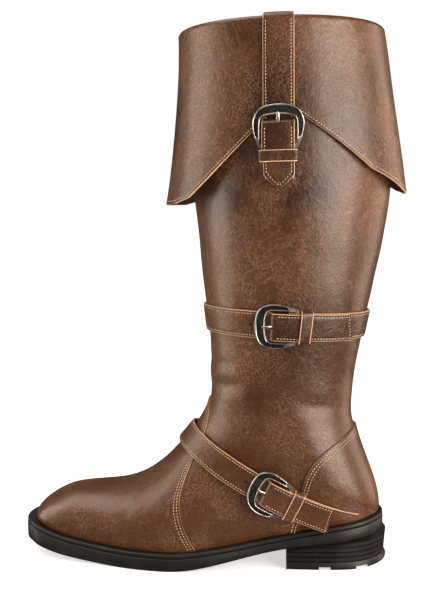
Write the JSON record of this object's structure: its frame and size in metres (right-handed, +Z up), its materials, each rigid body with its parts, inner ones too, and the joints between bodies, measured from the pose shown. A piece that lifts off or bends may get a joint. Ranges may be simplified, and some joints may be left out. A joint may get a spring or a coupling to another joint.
{
  "type": "pirate boot",
  "caption": "Tall brown leather-look costume boot with a folded V-cut cuff, buckled straps and a black rubber sole with a low heel.",
  "frame": {"origin": "middle of the heel's bottom face, on the floor", "axes": "+Z up the shaft, -X toward the toe, -Y toward the outer side of the left foot"},
  "size_m": [0.3234, 0.1517, 0.4341],
  "materials": {
    "leather": "satin, distressed",
    "rubber": "satin",
    "metal": "antiqued",
    "insole": "matte"
  },
  "bodies": {
    "root": {"upper": "leather", "heel_counter": "leather", "cuff": "leather", "cuff_strap": "leather", "cuff_strap_base": "leather", "calf_strap": "leather", "ankle_strap": "leather", "ankle_strap_base": "leather", "cuff_keeper": "leather", "calf_keeper": "leather", "ankle_keeper": "leather", "cuff_buckle": "metal", "calf_buckle": "metal", "ankle_buckle": "metal", "cuff_prong": "metal", "calf_prong": "metal", "ankle_prong": "metal", "welt": "rubber", "outsole": "rubber", "heel": "rubber", "insole": "insole"}
  },
  "joints": []
}
